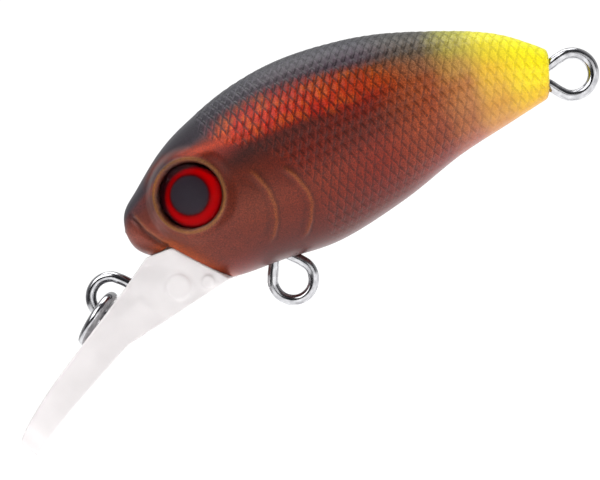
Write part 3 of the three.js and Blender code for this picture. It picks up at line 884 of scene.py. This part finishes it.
# The lip's solid, remade in even cells and relaxed, so that its moulded edges turn round.
def softLip(material):
    source = nodes["diving_lip"].data.copy()
    source.name = "lip_blade"
    source.materials.clear()
    piece = bpy.data.objects.new("lip_blade", source)
    bpy.context.scene.collection.objects.link(piece)
    cells = piece.modifiers.new("cells", "REMESH")
    cells.mode = "VOXEL"
    cells.voxel_size = lip["cell"] * mm
    relax = piece.modifiers.new("relax", "SMOOTH")
    relax.factor = 0.5
    relax.iterations = lip["relaxSteps"]
    done = piece.evaluated_get(bpy.context.evaluated_depsgraph_get())
    mesh = bpy.data.meshes.new_from_object(done)
    piece.modifiers.clear()
    piece.data = mesh
    for face in mesh.polygons:
        face.use_smooth = True
    mesh.materials.clear()
    mesh.materials.append(material)
    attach(piece, "body")
    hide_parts("diving_lip")
    print(f"lip_blade: {len(mesh.polygons)} faces")
    return piece


# A round piece of the eye: its profile is spun about the seat's axis.
def domeDisc(name, side, profile, material, node):
    centre, normal = eyeSeat(side)
    bm = bmesh.new()
    points = [bm.verts.new((r, 0, z)) for r, z in profile]
    for a, b in zip(points, points[1:]):
        bm.edges.new((a, b))
    bmesh.ops.spin(bm, geom=bm.verts[:] + bm.edges[:], axis=(0, 0, 1), angle=2 * pi, steps=80, use_merge=True)
    bmesh.ops.remove_doubles(bm, verts=bm.verts, dist=1e-4)
    bmesh.ops.recalc_face_normals(bm, faces=bm.faces)
    bmesh.ops.rotate(bm, verts=bm.verts, matrix=Vector((0, 0, 1)).rotation_difference(normal).to_matrix())
    bmesh.ops.translate(bm, vec=centre, verts=bm.verts)
    return newPiece(name, bm, material, "body", [node])


def domeArc(radius, low, rise, steps=14):
    turns = [pi / 2 * i / steps for i in range(steps + 1)]
    return [(radius * max(0, cos(turn)) if turn < 1.57 else 0, low + rise * sin(turn)) for turn in turns]


def giveMaterial(node, material):
    mesh = nodes[node].data
    mesh.materials.clear()
    mesh.materials.append(material)


paint = paintMaterial()
for side in (-1, 1):
    bodyShell(side, paint)

wireSteel = steelMaterial("polished_stainless_wire", "#88888b", "#b4b4b6")
tieEye = Vector((0, 0, 0))
bellyEye = onBody(0.331, 0) + origin + Vector((0, 0, -wires["standoff"]))
tailDrop = wires["standoff"] * leanSlope
tailEye = onBody(1, 0.47) + origin + Vector((wires["standoff"], 0, -tailDrop))
bentWire("line_tie_wire", tieEye, 174, wireSteel, "line_tie")
bentWire("belly_hanger_wire", bellyEye, -77, wireSteel, "belly_hanger")
bentWire("tail_hanger_wire", tailEye, -body["lean"], wireSteel, "tail_hanger")
looseRing(wireSteel)

softLip(lipMaterial())
resin = lensMaterial()
lensTop = eyes["lensLow"] + eyes["lensEdge"]
printRadius = eyes["radius"] - 0.02
foilProfile = [(0, eyes["foilLow"]), (printRadius, eyes["foilLow"])]
foilProfile += domeArc(printRadius, eyes["printEdge"], eyes["lensDome"] * 0.8)
lensProfile = domeArc(printRadius, eyes["printEdge"] + eyes["layer"], eyes["lensDome"] * 0.8)[::-1]
lensProfile += domeArc(eyes["radius"], lensTop, eyes["lensDome"])
for side, word in ((-1, "left"), (1, "right")):
    centre, normal = eyeSeat(side)
    irisPrint = foilMaterial(f"{word}_printed_foil", centre * mm, normal)
    domeDisc(f"{word}_iris_print", side, foilProfile, irisPrint, f"{word}_eye_foil")
    domeDisc(f"{word}_lens_dome", side, lensProfile, resin, f"{word}_eye_lens")

ballSteel = steelMaterial("ball_bearing_steel", "#9c9c9e", "#c4c4c6")
giveMaterial("front_rattle_ball", ballSteel)
giveMaterial("rear_rattle_ball", ballSteel)
giveMaterial("belly_weight", brassMaterial())
print("pieces made")


studio = {
    "floorDrop": 30,
    "floorSize": 4000,
    "lens": 100,
    "sensor": 36,
    "frameWidth": 49.2,
    "azimuth": 6,
    "roll": 17,
    "target": (16.47, 0, -0.04),
}


def paleFloor():
    bm = bmesh.new()
    bmesh.ops.create_grid(bm, x_segments=8, y_segments=8, size=studio["floorSize"] / 2 * mm)
    bmesh.ops.translate(bm, vec=(0, 0, cadBox[0][2] - studio["floorDrop"] * mm), verts=bm.verts)
    mesh = bpy.data.meshes.new("pale_floor")
    bm.to_mesh(mesh)
    bm.free()
    floorObject = bpy.data.objects.new("pale_floor", mesh)
    bpy.context.scene.collection.objects.link(floorObject)
    material, tree, shader = newMaterial(
        "matt_white_board", Roughness=0.9, Emission_Color=linear("#ffffff"), Emission_Strength=0.75
    )
    where = addNode(tree, "ShaderNodeTexCoord").outputs["Object"]
    board = ramp(tree, noiseOf(tree, where, 60, 2), [(0.3, "#fafafa"), (0.7, "#fdfdfd")])
    tree.links.new(board, shader.inputs["Base Color"])
    mesh.materials.append(material)
    print("floor laid")


def softWorld():
    # A white backdrop for the camera, and for reflections a studio that is darker on the camera's side.
    world = bpy.data.worlds.new("studio")
    world.use_nodes = True
    bpy.context.scene.world = world
    tree = world.node_tree
    background = tree.nodes["Background"]
    direction = addNode(tree, "ShaderNodeTexCoord").outputs["Generated"]
    parts = addNode(tree, "ShaderNodeSeparateXYZ", {0: direction})
    back, height = (mathNode(tree, "MULTIPLY_ADD", parts.outputs[i], 0.5, 0.5) for i in (1, 2))
    toBack = ramp(tree, back, [(0.03, "#26262a"), (0.3, "#77777c"), (0.75, "#ffffff")])
    upward = ramp(tree, height, [(0.2, "#9a9a9e"), (0.7, "#ffffff")])
    room = mix(tree, 1.0, toBack, upward, "MULTIPLY")
    seen = addNode(tree, "ShaderNodeLightPath").outputs["Is Camera Ray"]
    tree.links.new(mix(tree, seen, room, [1.5, 1.5, 1.5, 1]), background.inputs[0])
    background.inputs[1].default_value = 0.72


def softLight(name, place, size, power):
    lamp = bpy.data.lights.new(name, "AREA")
    lamp.shape = "RECTANGLE"
    lamp.size, lamp.size_y = size
    lamp.energy = power
    light = bpy.data.objects.new(name, lamp)
    light.location = place
    light.rotation_euler = (Vector((0.017, 0, 0)) - Vector(place)).to_track_quat("-Z", "Y").to_euler()
    bpy.context.scene.collection.objects.link(light)


def studioCamera():
    lens = bpy.data.cameras.new("camera")
    lens.lens, lens.sensor_width = studio["lens"], studio["sensor"]
    distance = studio["frameWidth"] * studio["lens"] / studio["sensor"] * mm
    azimuth, roll = radians(studio["azimuth"]), radians(studio["roll"])
    forward = Vector((-sin(azimuth), cos(azimuth), 0))
    level = Vector((cos(azimuth), sin(azimuth), 0))
    right = level * cos(roll) - Vector((0, 0, 1)) * sin(roll)
    up = level * sin(roll) + Vector((0, 0, 1)) * cos(roll)
    camera = bpy.data.objects.new("camera", lens)
    target = Vector(studio["target"]) * mm
    place = target - forward * distance
    camera.matrix_world = Matrix.Translation(place) @ Matrix((right, up, -forward)).transposed().to_4x4()
    bpy.context.scene.collection.objects.link(camera)
    bpy.context.scene.camera = camera


paleFloor()
softWorld()
softLight("key", (-0.12, -0.22, 0.3), (0.3, 0.3), 1.25)
softLight("fill", (0.2, -0.3, -0.04), (0.3, 0.3), 0.4)
softLight("top", (0.05, 0.06, 0.34), (0.3, 0.2), 0.8)
studioCamera()
bpy.context.scene.view_settings.view_transform = "Standard"
print("studio lit")
